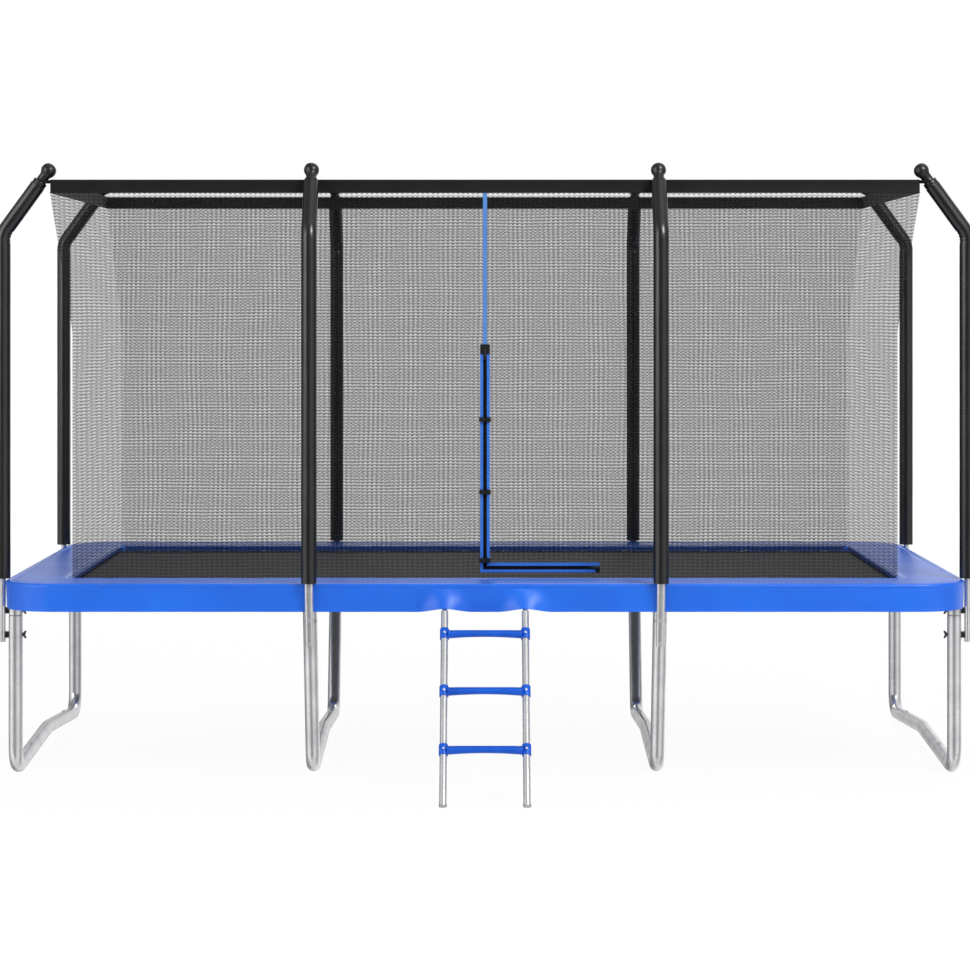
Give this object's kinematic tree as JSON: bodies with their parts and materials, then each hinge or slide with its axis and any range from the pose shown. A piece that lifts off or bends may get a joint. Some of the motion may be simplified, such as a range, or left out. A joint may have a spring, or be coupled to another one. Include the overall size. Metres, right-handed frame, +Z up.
{
  "type": "rectangular trampoline",
  "caption": "Rectangular trampoline on tube leg frames, with a padded rim, a safety net on bent poles, a zip door and a hook-on ladder.",
  "frame": {"origin": "on the ground under the centre of the mat", "axes": "+X along the long side to the right, +Y to the rear away from the ladder, +Z up"},
  "size_m": [4.3956, 3.1515, 2.745],
  "materials": {
    "galvanised_steel": "galvanised",
    "zinc_plate": "zinc plated",
    "black_foam": "satin sheath over foam",
    "black_plastic": "moulded",
    "grey_plastic": "moulded",
    "black_weave": "woven",
    "blue_cover": "smooth coated cover",
    "black_net": "fine mesh",
    "black_band": "webbing",
    "grey_rubber": "moulded",
    "blue_plastic": "moulded"
  },
  "bodies": {
    "frame": {"end_leg_posts_right": "galvanised_steel", "end_leg_posts_left": "galvanised_steel", "end_leg_bases": "galvanised_steel", "middle_leg_posts_right": "galvanised_steel", "middle_leg_posts_left": "galvanised_steel", "middle_leg_bases": "galvanised_steel", "end_rails_right": "galvanised_steel", "end_rails_left": "galvanised_steel", "middle_rail_rear": "galvanised_steel", "middle_rail_front": "galvanised_steel", "upper_corner_poles": "galvanised_steel", "upper_side_poles": "galvanised_steel", "lower_corner_pole_rear_right": "galvanised_steel", "lower_corner_pole_rear_left": "galvanised_steel", "lower_corner_pole_front_right": "galvanised_steel", "lower_corner_pole_front_left": "galvanised_steel", "lower_side_pole_rear_right": "galvanised_steel", "lower_side_pole_rear_left": "galvanised_steel", "lower_side_pole_front_right": "galvanised_steel", "lower_side_pole_front_left": "galvanised_steel", "leg_bolts": "zinc_plate", "pole_bolts": "zinc_plate", "springs": "zinc_plate", "foam_sleeves_lower": "black_foam", "foam_sleeves_upper": "black_foam", "pole_caps": "black_plastic", "pole_spacers": "black_plastic", "buckle_sockets": "black_plastic", "zip_track": "black_plastic", "wing_nuts": "grey_plastic", "safety_pad": "blue_cover", "pad_skirt": "blue_cover", "zip_tape": "blue_cover", "net_front": "black_net", "net_rear": "black_net", "net_left": "black_net", "net_right": "black_net", "net_band": "black_band", "band_loops": "black_band"},
    "jump_mat_body": {"jump_mat": "black_weave"},
    "ladder": {"ladder_rail_left": "galvanised_steel", "ladder_rail_right": "galvanised_steel", "ladder_feet": "grey_rubber", "ladder_step_low": "blue_plastic", "ladder_step_middle": "blue_plastic", "ladder_step_top": "blue_plastic", "step_screws": "zinc_plate"},
    "upright_slider": {"zip_slider_upright": "black_plastic"},
    "level_slider": {"zip_slider_level": "black_plastic"},
    "top_tongue": {"buckle_tongue_top": "black_plastic"},
    "middle_tongue": {"buckle_tongue_middle": "black_plastic"},
    "low_tongue": {"buckle_tongue_low": "black_plastic"}
  },
  "joints": [
    {"name": "mat_bounce", "type": "slide", "parent": "frame", "child": "jump_mat_body", "axis": [0, 0, 1], "range_m": [-0.3, 0], "stiffness_N_per_m": 6000, "springref_m": 0.06, "deforming": ["springs"]},
    {"name": "ladder_swing", "type": "hinge", "parent": "frame", "child": "ladder", "pos_m": [0, -1.19, 0.83], "axis": [-1, 0, 0], "range_deg": [0, 50], "deforming": ["pad_skirt"]},
    {"name": "upright_zip", "type": "slide", "parent": "frame", "child": "upright_slider", "axis": [0, 0, -1], "range_m": [0, 0.9]},
    {"name": "level_zip", "type": "slide", "parent": "frame", "child": "level_slider", "axis": [-1, 0, 0], "range_m": [0, 0.42]},
    {"name": "top_buckle", "type": "slide", "parent": "frame", "child": "top_tongue", "axis": [1, 0, 0], "range_m": [0, 0.035]},
    {"name": "middle_buckle", "type": "slide", "parent": "frame", "child": "middle_tongue", "axis": [1, 0, 0], "range_m": [0, 0.035]},
    {"name": "low_buckle", "type": "slide", "parent": "frame", "child": "low_tongue", "axis": [1, 0, 0], "range_m": [0, 0.035]}
  ]
}
